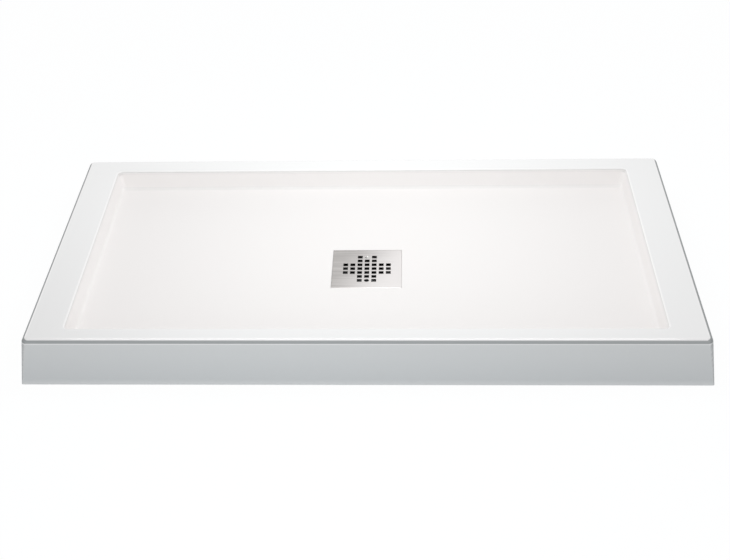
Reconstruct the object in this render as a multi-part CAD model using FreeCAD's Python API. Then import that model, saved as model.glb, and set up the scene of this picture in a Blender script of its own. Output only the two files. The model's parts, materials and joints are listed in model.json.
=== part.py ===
"""Low shower tray with an acrylic skin, a square drain cover and levelling feet.

The skin is one formed acrylic sheet: apron, rim, basin and drain recess. Glass fibre backs
it, timber rails carry its rim and a plywood board carries its floor. The waste hangs in the
recess and the board stands on six screw feet.

Axes: X runs along the tray, -Y faces the open front, +Z is up.
Origin: on the floor, under the middle of the tray. All sizes are in millimetres.
"""

import FreeCAD, Part
import math
import os

Vector = FreeCAD.Vector
UP = Vector(0, 0, 1)

# ---- Outer form ---------------------------------------------------------------------------
TRAY_LENGTH = 1371.6          # 54 in over the foot of the apron
TRAY_DEPTH = 762.0            # 30 in over the foot of the apron
TRAY_HEIGHT = 101.6           # 4 in to the top of the rim
APRON_DRAFT = 5.8             # degrees that the apron leans in towards the rim
RIM_EDGE_RADIUS = 12.0        # roll from the rim into the apron
APRON_RIM_RADIUS = 14.0       # upright corners of the apron where they meet the rim
APRON_FOOT_RADIUS = 4.0       # and at the floor, where they are tighter

# ---- Basin --------------------------------------------------------------------------------
SIDE_RIM = 78.4               # rim widths, from the sharp outer edge to the sharp basin edge
FRONT_RIM = 41.3
BACK_RIM = 55.2
BASIN_DEPTH = 46.0            # rim down to the foot of the basin wall
FLOOR_FALL = 8.0              # foot of the wall down to the dish round the drain
FLOOR_MARGIN = 14.0           # the floor stays level this far from the foot of the wall
BASIN_WALL_DRAFT = 8.0        # degrees that the basin wall leans in towards the floor
BASIN_CORNER_RADIUS = 10.0
BASIN_EDGE_RADIUS = 5.0       # roll from the rim into the basin
COVE_RADIUS = 9.0            # roll from the basin wall into the floor
DISH_SIZE = 190.0             # level part of the floor round the drain

# ---- Layers -------------------------------------------------------------------------------
ACRYLIC = 4.0
GLASS_FIBRE = 3.0
GLASS_FIBRE_TRIM = 3.0        # the laminate stops this far above the foot of the apron
BEDDING_MIN = 1.6             # filler left between the laminate and the board at the dish
BOARD_THICKNESS = 9.0
BOARD_OPENING = 176.0         # square hole in board and filler round the drain recess
BOARD_OPENING_RADIUS = 15.0
BEDDING_MARGIN = 6.0          # filler stops this far inside the foot of the basin wall
RAIL_GAP = 1.0                # glue line between the rails and the laminate beside them

# ---- Drain cover and its recess -----------------------------------------------------------
DRAIN_X = 0.0
DRAIN_Y = -30.0
COVER_SIZE = 150.0
COVER_THICKNESS = 2.5
COVER_CORNER_RADIUS = 1.5
COVER_CHAMFER = 0.4
COVER_GAP = 0.8               # round the cover, inside its rebate
COVER_LEDGE = 9.0             # width of the ledge that carries the cover
HOLE_SIZE = 10.5
HOLE_PITCH = 15.5
HOLE_REACH = 3                # the arms of the cross end this many pitches from its middle
ARM_HALF_WIDTH = 1            # and are this many pitches wide each side of its middle
SUMP_DEPTH = 12.0             # dish down to the floor of the recess
SUMP_CORNER_RADIUS = 14.0
SUMP_FILLET = 5.0

# ---- Cover screws -------------------------------------------------------------------------
SCREW_RADIUS = 2.95
SCREW_HEAD_RADIUS = 5.3
SCREW_DOME = 1.1              # the raised head stands this far above the cover
SCREW_DEPTH = 7.0             # reach of the shank below the cover
SCREW_CLEARANCE = 0.15        # round the shank and under the cone of the head
CROSS_WIDTH = 1.1
CROSS_LENGTH = 5.6
CROSS_DEPTH = 1.3

# ---- Waste --------------------------------------------------------------------------------
FLANGE_RADIUS = 57.0
FLANGE_THICKNESS = 3.0
FLANGE_CHAMFER = 1.2
SEAL_THICKNESS = 1.5
SEAL_MARGIN = 2.0             # the soft ring stops this far inside the flange
BARREL_RADIUS = 42.0
THROAT_RADIUS = 38.0
BARREL_TAIL = 7.4             # thread left below the lock nut
BARREL_LIP = 3.0              # inward lip at the foot of the barrel
BOSS_RADIUS = 4.8
BOSS_HOLE_FLOOR = 1.0         # metal left under a screw hole
THREAD_CLEARANCE = 0.1        # between a plain thread cylinder and what screws on it
HOLE_CLEARANCE = 1.5          # between the barrel and the hole in the skin
WASHER_RADIUS = 56.0
SEALING_WASHER_THICKNESS = 3.0
FRICTION_WASHER_THICKNESS = 1.2
LOCK_NUT_RADIUS = 50.0
LOCK_NUT_HEIGHT = 12.0
LUG_COUNT = 8
LUG_WIDTH = 10.0
LUG_REACH = 5.0
PIPE_RADIUS = 30.15           # 2 in waste pipe, 60.3 mm outside
PIPE_CLEARANCE = 0.05
LIP_CLEARANCE = 1.35          # between the pipe and the lip of the barrel
GASKET_HEIGHT = 14.0
GASKET_CLEARANCE = 0.4        # between the gasket and the wall of the barrel
COMPRESSION_NUT_HEIGHT = 8.0
COMPRESSION_NUT_CLEARANCE = 1.85
NOTCH_COUNT = 4
NOTCH_WIDTH = 8.0
NOTCH_DEPTH = 3.0

# ---- Levelling feet -----------------------------------------------------------------------
FOOT_FROM_END = 185.8         # outer feet, in from the ends of the tray
FOOT_FROM_FRONT = 136.0       # rows of feet, in from the front and the back
PAD_RADIUS = 22.0
PAD_SOLE = 4.0
PAD_HEIGHT = 9.0
PAD_HUB_RADIUS = 10.0
PAD_SEAT = 3.0                # the stem stands on the pad at this height
STEM_RADIUS = 5.0
STEM_CLEARANCE = 0.05         # radial, in the socket, the pad and the lock nut
STEM_TOP_GAP = 1.0            # between the end of the stem and the top of the board
COLLAR_FLATS = 13.0
COLLAR_HEIGHT = 4.0
COLLAR_LIFT = 0.3             # between the pad and the collar
SOCKET_LENGTH = 11.0
SOCKET_RADIUS = 9.0
SOCKET_FLANGE_RADIUS = 23.0
SOCKET_FLANGE_THICKNESS = 3.0
BOARD_HOLE_RADIUS = 6.5
LOCK_NUT_FLATS = 17.0
LOCK_NUT_THICKNESS = 5.0
WOOD_SCREW_RADIUS = 1.75
WOOD_SCREW_HEAD_RADIUS = 3.4
WOOD_SCREW_TIP_RADIUS = 0.4
WOOD_SCREW_REACH = 7.0        # shank inside the board
WOOD_SCREW_CIRCLE = 16.5
WOOD_SCREWS_PER_SOCKET = 3

# ---- Construction -------------------------------------------------------------------------
OVERCUT = 5.0                 # how far a cutting tool runs past the face that it opens
LEAST_RADIUS = 0.5            # inside corners of a layer are never sharper than this
LEVEL = 0.0001                # heights closer than this are the same

# ---- Sizes that follow from the ones above --------------------------------------------------
SKIN = ACRYLIC + GLASS_FIBRE
TOP_LENGTH = TRAY_LENGTH - 2 * TRAY_HEIGHT * math.tan(math.radians(APRON_DRAFT))
TOP_DEPTH = TRAY_DEPTH - 2 * TRAY_HEIGHT * math.tan(math.radians(APRON_DRAFT))
BASIN_LENGTH = TOP_LENGTH - 2 * SIDE_RIM
BASIN_WIDTH = TOP_DEPTH - FRONT_RIM - BACK_RIM
BASIN_CENTRE = Vector(0, (FRONT_RIM - BACK_RIM) / 2, 0)
DRAIN = Vector(DRAIN_X, DRAIN_Y, 0)

FOOT_OF_WALL_Z = TRAY_HEIGHT - BASIN_DEPTH
DISH_Z = FOOT_OF_WALL_Z - FLOOR_FALL
LEDGE_Z = DISH_Z - COVER_THICKNESS
SUMP_Z = DISH_Z - SUMP_DEPTH
BOARD_TOP_Z = DISH_Z - SKIN - BEDDING_MIN
BOARD_Z = BOARD_TOP_Z - BOARD_THICKNESS
REBATE_SIZE = COVER_SIZE + 2 * COVER_GAP
SUMP_SIZE = REBATE_SIZE - 2 * COVER_LEDGE
SCREW_OFFSET = HOLE_REACH * HOLE_PITCH

FLANGE_Z = SUMP_Z + SEAL_THICKNESS
FLANGE_TOP_Z = FLANGE_Z + FLANGE_THICKNESS
SEALING_WASHER_Z = SUMP_Z - SKIN - SEALING_WASHER_THICKNESS
FRICTION_WASHER_Z = SEALING_WASHER_Z - FRICTION_WASHER_THICKNESS
LOCK_NUT_Z = FRICTION_WASHER_Z - LOCK_NUT_HEIGHT
BARREL_Z = LOCK_NUT_Z - BARREL_TAIL
GASKET_Z = BARREL_Z + BARREL_LIP
COMPRESSION_NUT_Z = GASKET_Z + GASKET_HEIGHT
SOCKET_Z = BOARD_Z - SOCKET_LENGTH

FEET = {
    f"{row}_{place}": Vector(
        column * (TRAY_LENGTH / 2 - FOOT_FROM_END), side * (TRAY_DEPTH / 2 - FOOT_FROM_FRONT), 0)
    for row, side in (("front", -1), ("back", 1))
    for place, column in (("left", -1), ("middle", 0), ("right", 1))
}


# ---- Shared shapes --------------------------------------------------------------------------
def at(point, z):
    """The given plan point at height z."""
    return Vector(point.x, point.y, z)


def round_rectangle(length, width, radius, centre):
    """Level wire of a rectangle with round corners, made of four arcs and four lines."""
    corners = (
        (length / 2 - radius, width / 2 - radius, 0),
        (radius - length / 2, width / 2 - radius, 90),
        (radius - length / 2, radius - width / 2, 180),
        (length / 2 - radius, radius - width / 2, 270),
    )
    arcs = []
    for x, y, start in corners:
        middle = centre + Vector(x, y, 0)
        turns = [math.radians(start + step) for step in (0, 45, 90)]
        arcs.append([middle + Vector(math.cos(a), math.sin(a), 0) * radius for a in turns])
    edges = []
    for arc, following in zip(arcs, arcs[1:] + arcs[:1]):
        edges.append(Part.Arc(*arc).toShape())
        edges.append(Part.LineSegment(arc[2], following[0]).toShape())
    return Part.Wire(edges)


def round_block(length, width, radius, centre, bottom, top):
    """Upright block with round corners between two heights."""
    outline = round_rectangle(length, width, radius, at(centre, bottom))
    return Part.Face(outline).extrude(UP * (top - bottom))


def level_rectangle(length, width, centre, z):
    """X limits, Y limits and height of a level rectangle about the given plan point."""
    return (
        centre.x - length / 2, centre.x + length / 2,
        centre.y - width / 2, centre.y + width / 2, z,
    )


def leaning_block(low, high):
    """Block of flat faces between two level rectangles, the lower one first."""
    x0, x1, y0, y1, z0 = low
    x2, x3, y2, y3, z1 = high
    block = Part.makeWedge(x0, z0, -y1, -y3, x2, x1, z1, -y0, -y2, x3)
    block.rotate(Vector(0, 0, 0), Vector(1, 0, 0), 90)
    return block


def plain_block(length, width, centre, bottom, top):
    """Upright block with sharp corners between two heights."""
    corner = at(centre, bottom) - Vector(length / 2, width / 2, 0)
    return Part.makeBox(length, width, top - bottom, corner)


def post(radius, centre, bottom, top):
    """Upright cylinder between two heights."""
    return Part.makeCylinder(radius, top - bottom, at(centre, bottom), UP)


def ring(outer, inner, centre, bottom, top):
    """Upright tube between two heights."""
    return post(outer, centre, bottom, top).cut(post(inner, centre, bottom, top))


def turned(profile, centre):
    """Solid of revolution about the upright axis through centre, from (radius, z) points."""
    points = [Vector(radius, 0, z) for radius, z in profile]
    outline = Part.makePolygon(points + points[:1])
    solid = Part.Face(outline).revolve(Vector(0, 0, 0), UP, 360)
    solid.translate(centre)
    return solid


def hexagon(flats, centre, bottom, top):
    """Upright hexagonal prism, its size given across flats."""
    reach = flats / math.sqrt(3)
    points = [
        at(centre, bottom) + Vector(math.cos(a), math.sin(a), 0) * reach
        for a in (math.radians(60 * n) for n in range(7))
    ]
    return Part.Face(Part.makePolygon(points)).extrude(UP * (top - bottom))


def around(centre, radius, count, start=0.0):
    """Points evenly spaced on a circle about centre, with their angles in degrees."""
    for n in range(count):
        angle = start + 360.0 * n / count
        a = math.radians(angle)
        yield centre + Vector(math.cos(a), math.sin(a), 0) * radius, angle


def rising_edges(block):
    """Edges of a leaning block that run from its lower to its upper rectangle."""
    return [edge for edge in block.Edges if edge.BoundBox.ZLength > LEVEL]


def level_edges(shape, z):
    """Edges of the shape that lie level at height z."""
    return [
        edge for edge in shape.Edges
        if abs(edge.BoundBox.ZMin - z) < LEVEL and abs(edge.BoundBox.ZMax - z) < LEVEL
    ]


# ---- Skin: acrylic and the laminate behind it ----------------------------------------------
def outer_block(inset):
    """Leaning outer form of the tray from below the floor, every face moved inwards by inset."""
    lean = math.radians(APRON_DRAFT)
    top = TRAY_HEIGHT - inset
    limits = []
    for z in (-OVERCUT, top):
        run = z * math.tan(lean) + inset / math.cos(lean)
        limits.append(level_rectangle(TRAY_LENGTH - 2 * run, TRAY_DEPTH - 2 * run, Vector(), z))
    block = leaning_block(*limits)
    foot_radius = max(APRON_FOOT_RADIUS - inset, LEAST_RADIUS)
    block = block.makeFillet(foot_radius, APRON_RIM_RADIUS - inset, rising_edges(block))
    return block.makeFillet(RIM_EDGE_RADIUS - inset, level_edges(block, top))


def basin_space(inset):
    """Space of the basin and drain recess, every face moved into the skin by inset."""
    lean = math.radians(BASIN_WALL_DRAFT)
    foot = FOOT_OF_WALL_Z - inset
    limits = []
    for z in (foot, TRAY_HEIGHT + OVERCUT):
        run = (TRAY_HEIGHT - z) * math.tan(lean) - inset / math.cos(lean)
        limits.append(level_rectangle(
            BASIN_LENGTH - 2 * run, BASIN_WIDTH - 2 * run, BASIN_CENTRE, z))
    basin = leaning_block(*limits)
    basin = basin.makeFillet(BASIN_CORNER_RADIUS + inset, rising_edges(basin))
    basin = basin.makeFillet(COVE_RADIUS + inset, level_edges(basin, foot))
    run = BASIN_DEPTH * math.tan(lean) + FLOOR_MARGIN
    fall = leaning_block(
        level_rectangle(DISH_SIZE, DISH_SIZE, DRAIN, DISH_Z - inset),
        level_rectangle(BASIN_LENGTH - 2 * run, BASIN_WIDTH - 2 * run, BASIN_CENTRE, foot),
    )
    rebate = round_block(
        REBATE_SIZE + 2 * inset, REBATE_SIZE + 2 * inset, COVER_CORNER_RADIUS + inset,
        DRAIN, LEDGE_Z - inset, DISH_Z,
    )
    sump = round_block(
        SUMP_SIZE + 2 * inset, SUMP_SIZE + 2 * inset, SUMP_CORNER_RADIUS + inset,
        DRAIN, SUMP_Z - inset, DISH_Z,
    )
    sump = sump.makeFillet(SUMP_FILLET + inset, level_edges(sump, SUMP_Z - inset))
    return basin.fuse([fall, rebate, sump])


def formed_body(inset):
    """Tray form with its basin, as a full body, every face moved inwards by inset."""
    body = outer_block(inset).cut(basin_space(inset))
    radius = BASIN_EDGE_RADIUS - inset
    if radius < LEAST_RADIUS:
        return body
    half_length = BASIN_LENGTH / 2 + inset + LEAST_RADIUS
    lip = [
        edge for edge in level_edges(body, TRAY_HEIGHT - inset)
        if edge.BoundBox.XMin > -half_length and edge.BoundBox.XMax < half_length
        and edge.BoundBox.YMin > BASIN_CENTRE.y - BASIN_WIDTH / 2 - inset - LEAST_RADIUS
        and edge.BoundBox.YMax < BASIN_CENTRE.y + BASIN_WIDTH / 2 + inset + LEAST_RADIUS
    ]
    return body.makeFillet(radius, lip)


def formed_layer(outside, inside, bottom):
    """Sheet between two insets, trimmed at its foot and with the round hole for the waste."""
    hole = post(BARREL_RADIUS + HOLE_CLEARANCE, DRAIN, SUMP_Z - SKIN - OVERCUT, DISH_Z)
    below = plain_block(2 * TRAY_LENGTH, 2 * TRAY_DEPTH, Vector(), -2 * OVERCUT, bottom)
    return formed_body(outside).cut([formed_body(inside), hole, below])


def acrylic_shell():
    """Formed acrylic sheet: apron, rim, basin and drain recess."""
    return formed_layer(0.0, ACRYLIC, 0.0)


def glass_fibre_backing():
    """Laminate on the back of the acrylic, trimmed clear of the floor."""
    return formed_layer(ACRYLIC, SKIN, GLASS_FIBRE_TRIM)


# ---- Frame and floor ------------------------------------------------------------------------
def board_opening(bottom, top):
    """Square hole round the drain recess."""
    return round_block(BOARD_OPENING, BOARD_OPENING, BOARD_OPENING_RADIUS, DRAIN, bottom, top)


def floor_bedding():
    """Filler between the falling floor and the flat board."""
    lean = math.tan(math.radians(BASIN_WALL_DRAFT))
    run = BASIN_DEPTH * lean + BEDDING_MARGIN
    slab = round_block(
        BASIN_LENGTH - 2 * run, BASIN_WIDTH - 2 * run, BASIN_CORNER_RADIUS,
        BASIN_CENTRE, BOARD_TOP_Z, FOOT_OF_WALL_Z,
    )
    slab = slab.cut(basin_space(SKIN))
    return slab.cut(board_opening(BOARD_TOP_Z - OVERCUT, FOOT_OF_WALL_Z + OVERCUT))


def base_board():
    """Plywood board between the rails, with its screw, foot and drain holes."""
    reach = 2 * (SKIN + RAIL_GAP)
    board = plain_block(
        BASIN_LENGTH + reach, BASIN_WIDTH + reach, BASIN_CENTRE, BOARD_Z, BOARD_TOP_Z,
    )
    tools = [board_opening(BOARD_Z - OVERCUT, BOARD_TOP_Z + OVERCUT), socket_screws()]
    for foot in FEET.values():
        tools.append(post(BOARD_HOLE_RADIUS, foot, BOARD_Z - OVERCUT, BOARD_TOP_Z + OVERCUT))
    return board.cut(tools)


def rim_rails():
    """Timber rails under the four rims, standing as deep as the board's underside."""
    bottom = BOARD_Z
    top = TRAY_HEIGHT - SKIN
    roll = max(RIM_EDGE_RADIUS - SKIN, LEAST_RADIUS)
    inner = SKIN + RAIL_GAP
    half_length = BASIN_LENGTH / 2 + inner
    front = BASIN_CENTRE.y - BASIN_WIDTH / 2 - inner
    back = BASIN_CENTRE.y + BASIN_WIDTH / 2 + inner
    taken = 2 * inner + roll
    side_width = SIDE_RIM - taken
    front_width = FRONT_RIM - taken
    back_width = BACK_RIM - taken
    height = top - bottom
    long_side = 2 * (half_length + side_width)
    return {
        "front_rail": Part.makeBox(
            long_side, front_width, height, Vector(-long_side / 2, front - front_width, bottom)),
        "back_rail": Part.makeBox(
            long_side, back_width, height, Vector(-long_side / 2, back, bottom)),
        "left_rail": Part.makeBox(
            side_width, back - front, height, Vector(-half_length - side_width, front, bottom)),
        "right_rail": Part.makeBox(
            side_width, back - front, height, Vector(half_length, front, bottom)),
    }


# ---- Drain cover ----------------------------------------------------------------------------
def screw_places():
    """Names and plan places of the two cover screws, at the ends of the cross."""
    return {
        "front": DRAIN - Vector(0, SCREW_OFFSET, 0),
        "back": DRAIN + Vector(0, SCREW_OFFSET, 0),
    }


def drain_cover():
    """Stainless plate with a cross of square holes and two countersunk screw holes."""
    plate = round_block(COVER_SIZE, COVER_SIZE, COVER_CORNER_RADIUS, DRAIN, LEDGE_Z, DISH_Z)
    plate = plate.makeChamfer(COVER_CHAMFER, level_edges(plate, DISH_Z))
    tools = []
    steps = range(-HOLE_REACH, HOLE_REACH + 1)
    for column in steps:
        for row in steps:
            in_cross = min(abs(column), abs(row)) <= ARM_HALF_WIDTH
            is_screw_place = column == 0 and abs(row) == HOLE_REACH
            if in_cross and not is_screw_place:
                place = DRAIN + Vector(column, row, 0) * HOLE_PITCH
                bottom = LEDGE_Z - OVERCUT
                tools.append(plain_block(HOLE_SIZE, HOLE_SIZE, place, bottom, DISH_Z + OVERCUT))
    for place in screw_places().values():
        tools.append(turned(countersink_profile(), place))
    return plate.cut(tools)


def countersink_profile():
    """Section of a cover screw hole: a 45 degree cone that runs into a plain hole."""
    plain = SCREW_RADIUS + SCREW_CLEARANCE
    mouth = SCREW_HEAD_RADIUS + SCREW_CLEARANCE
    return [
        (0, LEDGE_Z - OVERCUT), (plain, LEDGE_Z - OVERCUT),
        (plain, DISH_Z - (mouth - plain)), (mouth, DISH_Z),
        (mouth, DISH_Z + OVERCUT), (0, DISH_Z + OVERCUT),
    ]


def cover_screw(place):
    """Raised countersunk screw with a cross recess."""
    neck = DISH_Z - (SCREW_HEAD_RADIUS - SCREW_RADIUS)
    shank = post(SCREW_RADIUS, place, LEDGE_Z - SCREW_DEPTH, neck)
    cone = Part.makeCone(SCREW_RADIUS, SCREW_HEAD_RADIUS, DISH_Z - neck, at(place, neck), UP)
    ball = (SCREW_HEAD_RADIUS ** 2 + SCREW_DOME ** 2) / (2 * SCREW_DOME)
    dome = Part.makeSphere(ball, at(place, DISH_Z + SCREW_DOME - ball), UP)
    dome = dome.common(post(SCREW_HEAD_RADIUS, place, DISH_Z, DISH_Z + SCREW_DOME))
    screw = shank.fuse([cone, dome])
    floor = DISH_Z + SCREW_DOME - CROSS_DEPTH
    slots = [
        plain_block(CROSS_LENGTH, CROSS_WIDTH, place, floor, DISH_Z + OVERCUT),
        plain_block(CROSS_WIDTH, CROSS_LENGTH, place, floor, DISH_Z + OVERCUT),
    ]
    return screw.cut(slots)


# ---- Waste ----------------------------------------------------------------------------------
def drain_body():
    """Threaded waste: flange in the recess, screw bosses, open throat and a lip for the pipe."""
    lip = PIPE_RADIUS + LIP_CLEARANCE
    body = turned([
        (THROAT_RADIUS, GASKET_Z), (THROAT_RADIUS, FLANGE_TOP_Z),
        (FLANGE_RADIUS - FLANGE_CHAMFER, FLANGE_TOP_Z),
        (FLANGE_RADIUS, FLANGE_TOP_Z - FLANGE_CHAMFER), (FLANGE_RADIUS, FLANGE_Z),
        (BARREL_RADIUS, FLANGE_Z), (BARREL_RADIUS, BARREL_Z), (lip, BARREL_Z), (lip, GASKET_Z),
    ], DRAIN)
    places = screw_places().values()
    bosses = [post(BOSS_RADIUS, place, FLANGE_Z + BOSS_HOLE_FLOOR, LEDGE_Z) for place in places]
    hole = SCREW_RADIUS + SCREW_CLEARANCE
    holes = [post(hole, place, FLANGE_Z + BOSS_HOLE_FLOOR, LEDGE_Z + OVERCUT) for place in places]
    return body.fuse(bosses).cut(holes)


def drain_lock_nut():
    """Ring nut with lugs, screwed up the barrel against the washers."""
    top = FRICTION_WASHER_Z
    nut = post(LOCK_NUT_RADIUS, DRAIN, LOCK_NUT_Z, top)
    reach = LOCK_NUT_RADIUS + LUG_REACH
    lugs = []
    for place, angle in around(DRAIN, reach / 2, LUG_COUNT):
        lug = plain_block(reach, LUG_WIDTH, place, LOCK_NUT_Z, top)
        lug.rotate(place, UP, angle)
        lugs.append(lug)
    bore = post(BARREL_RADIUS + THREAD_CLEARANCE, DRAIN, LOCK_NUT_Z - OVERCUT, top + OVERCUT)
    return nut.fuse(lugs).removeSplitter().cut(bore)


def compression_nut():
    """Ring nut inside the barrel that presses the gasket onto the pipe, with tool notches."""
    top = COMPRESSION_NUT_Z + COMPRESSION_NUT_HEIGHT
    outer = THROAT_RADIUS - THREAD_CLEARANCE
    inner = PIPE_RADIUS + COMPRESSION_NUT_CLEARANCE
    nut = ring(outer, inner, DRAIN, COMPRESSION_NUT_Z, top)
    notches = []
    for place, angle in around(DRAIN, outer, NOTCH_COUNT):
        notch = plain_block(outer, NOTCH_WIDTH, place, top - NOTCH_DEPTH, top + OVERCUT)
        notch.rotate(place, UP, angle)
        notches.append(notch)
    return nut.cut(notches)


def waste_rings():
    """Seals and washers of the waste, each clamped flat between its neighbours."""
    bore = BARREL_RADIUS + THREAD_CLEARANCE
    seal = FLANGE_RADIUS - SEAL_MARGIN
    gasket = THROAT_RADIUS - GASKET_CLEARANCE
    pipe = PIPE_RADIUS + PIPE_CLEARANCE
    under_skin = SUMP_Z - SKIN
    return {
        "flange_seal": ring(seal, bore, DRAIN, SUMP_Z, FLANGE_Z),
        "sealing_washer": ring(WASHER_RADIUS, bore, DRAIN, SEALING_WASHER_Z, under_skin),
        "friction_washer": ring(
            WASHER_RADIUS, bore, DRAIN, FRICTION_WASHER_Z, SEALING_WASHER_Z),
        "pipe_gasket": ring(gasket, pipe, DRAIN, GASKET_Z, COMPRESSION_NUT_Z),
    }


# ---- Levelling feet -------------------------------------------------------------------------
def leg_socket(foot):
    """Flanged bush under the board, threaded for the stem, with countersunk screw holes."""
    bore = STEM_RADIUS + STEM_CLEARANCE
    flange_z = BOARD_Z - SOCKET_FLANGE_THICKNESS
    socket = turned([
        (bore, SOCKET_Z), (SOCKET_RADIUS, SOCKET_Z), (SOCKET_RADIUS, flange_z),
        (SOCKET_FLANGE_RADIUS, flange_z), (SOCKET_FLANGE_RADIUS, BOARD_Z), (bore, BOARD_Z),
    ], foot)
    return socket.cut(screws_of_socket(foot))


def screws_of_socket(foot):
    """Countersunk wood screws that hold one socket to the board, heads flush below."""
    head_z = BOARD_Z - SOCKET_FLANGE_THICKNESS
    cone = WOOD_SCREW_HEAD_RADIUS - WOOD_SCREW_RADIUS
    profile = [
        (0, head_z), (WOOD_SCREW_HEAD_RADIUS, head_z), (WOOD_SCREW_RADIUS, head_z + cone),
        (WOOD_SCREW_RADIUS, BOARD_Z + WOOD_SCREW_REACH - WOOD_SCREW_RADIUS),
        (WOOD_SCREW_TIP_RADIUS, BOARD_Z + WOOD_SCREW_REACH), (0, BOARD_Z + WOOD_SCREW_REACH),
    ]
    places = around(foot, WOOD_SCREW_CIRCLE, WOOD_SCREWS_PER_SOCKET, start=90.0)
    return [turned(profile, place) for place, _ in places]


def socket_screws():
    """All wood screws of the six sockets."""
    return Part.makeCompound([screw for foot in FEET.values() for screw in screws_of_socket(foot)])


def foot_stem(foot):
    """Threaded stem with a hexagonal collar for the spanner."""
    collar_z = PAD_HEIGHT + COLLAR_LIFT
    stem = post(STEM_RADIUS, foot, PAD_SEAT, BOARD_TOP_Z - STEM_TOP_GAP)
    return stem.fuse(hexagon(COLLAR_FLATS, foot, collar_z, collar_z + COLLAR_HEIGHT))


def foot_pad(foot):
    """Round pad whose hub turns on the end of the stem."""
    seat = STEM_RADIUS + STEM_CLEARANCE
    edge = PAD_SOLE / 4
    return turned([
        (0, 0), (PAD_RADIUS - edge, 0), (PAD_RADIUS, edge), (PAD_RADIUS, PAD_SOLE - edge),
        (PAD_RADIUS - edge, PAD_SOLE), (PAD_HUB_RADIUS + edge, PAD_SOLE + edge),
        (PAD_HUB_RADIUS, PAD_HEIGHT), (seat, PAD_HEIGHT), (seat, PAD_SEAT), (0, PAD_SEAT),
    ], foot)


def leg_lock_nuts():
    """Thin hexagonal nuts that lock the stems against their sockets."""
    bore = STEM_RADIUS + STEM_CLEARANCE
    bottom = SOCKET_Z - LOCK_NUT_THICKNESS
    nuts = []
    for foot in FEET.values():
        nut = hexagon(LOCK_NUT_FLATS, foot, bottom, SOCKET_Z)
        nuts.append(nut.cut(post(bore, foot, bottom - OVERCUT, SOCKET_Z + OVERCUT)))
    return Part.makeCompound(nuts)


# ---- The whole tray -------------------------------------------------------------------------
def build_nodes():
    """Every piece of the tray, by node name."""
    nodes = {
        "acrylic_shell": acrylic_shell(),
        "glass_fibre_backing": glass_fibre_backing(),
        "floor_bedding": floor_bedding(),
        "base_board": base_board(),
        "drain_cover": drain_cover(),
        "drain_body": drain_body(),
        "drain_lock_nut": drain_lock_nut(),
        "compression_nut": compression_nut(),
        "leg_lock_nuts": leg_lock_nuts(),
        "socket_screws": socket_screws(),
    }
    nodes.update(rim_rails())
    nodes.update(waste_rings())
    for name, place in screw_places().items():
        nodes[f"cover_screw_{name}"] = cover_screw(place)
    for name, foot in FEET.items():
        nodes[f"leg_socket_{name}"] = leg_socket(foot)
        nodes[f"foot_stem_{name}"] = foot_stem(foot)
        nodes[f"foot_pad_{name}"] = foot_pad(foot)
    return nodes


def main():
    """Write one STEP file for each piece and print what was built."""
    os.makedirs("parts", exist_ok=True)
    for name, shape in sorted(build_nodes().items()):
        shape.exportStep(f"parts/{name}.step")
        sound = "sound" if shape.isValid() else "NOT SOUND"
        print(f"{name}: {len(shape.Solids)} solid(s), {shape.Volume / 1000:.1f} cm3, {sound}")


main()
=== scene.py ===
"""Looks of a low acrylic shower tray: its finishes, threads and fasteners, and a studio.

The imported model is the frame. Its solids keep their shapes and get real finishes, and the
threaded and drilled pieces are made again in full detail. Sizes are in millimetres, and the
meshes are in metres.
"""

import json
import logging
import math
from dataclasses import dataclass, field
from enum import Enum
from typing import Any, Callable, Iterable, Sequence

import bmesh
import bpy
from mathutils import Matrix, Vector

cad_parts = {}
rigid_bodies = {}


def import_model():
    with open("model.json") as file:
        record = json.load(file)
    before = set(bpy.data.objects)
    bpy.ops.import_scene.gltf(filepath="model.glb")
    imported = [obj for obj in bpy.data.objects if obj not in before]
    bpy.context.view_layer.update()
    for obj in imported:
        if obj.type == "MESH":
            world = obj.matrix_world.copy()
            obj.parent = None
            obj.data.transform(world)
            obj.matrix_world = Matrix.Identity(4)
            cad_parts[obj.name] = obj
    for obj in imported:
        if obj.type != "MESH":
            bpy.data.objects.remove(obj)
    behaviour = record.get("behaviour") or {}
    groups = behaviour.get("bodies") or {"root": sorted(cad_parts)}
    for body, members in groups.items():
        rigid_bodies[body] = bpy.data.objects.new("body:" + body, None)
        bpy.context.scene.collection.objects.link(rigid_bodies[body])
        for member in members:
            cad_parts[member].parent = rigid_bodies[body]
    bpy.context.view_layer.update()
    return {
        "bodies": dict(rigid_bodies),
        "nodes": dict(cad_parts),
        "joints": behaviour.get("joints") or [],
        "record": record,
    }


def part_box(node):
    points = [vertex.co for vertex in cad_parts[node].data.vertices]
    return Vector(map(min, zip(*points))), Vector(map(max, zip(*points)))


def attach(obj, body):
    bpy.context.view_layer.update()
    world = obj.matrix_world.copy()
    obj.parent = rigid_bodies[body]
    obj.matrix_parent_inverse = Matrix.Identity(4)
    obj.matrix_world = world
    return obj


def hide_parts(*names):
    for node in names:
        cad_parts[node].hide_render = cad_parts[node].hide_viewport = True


log = logging.getLogger("shower_tray")

MM = 0.001
IMAGE_WIDTH = 730
IMAGE_HEIGHT = 560
# Settings of a range that eases at both ends, and of a mix of two colours.
SMOOTH = {"interpolation_type": "SMOOTHSTEP"}
IN_COLOUR = {"data_type": "RGBA"}

Tree = bpy.types.NodeTree
Node = bpy.types.Node
Socket = bpy.types.NodeSocket


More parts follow.
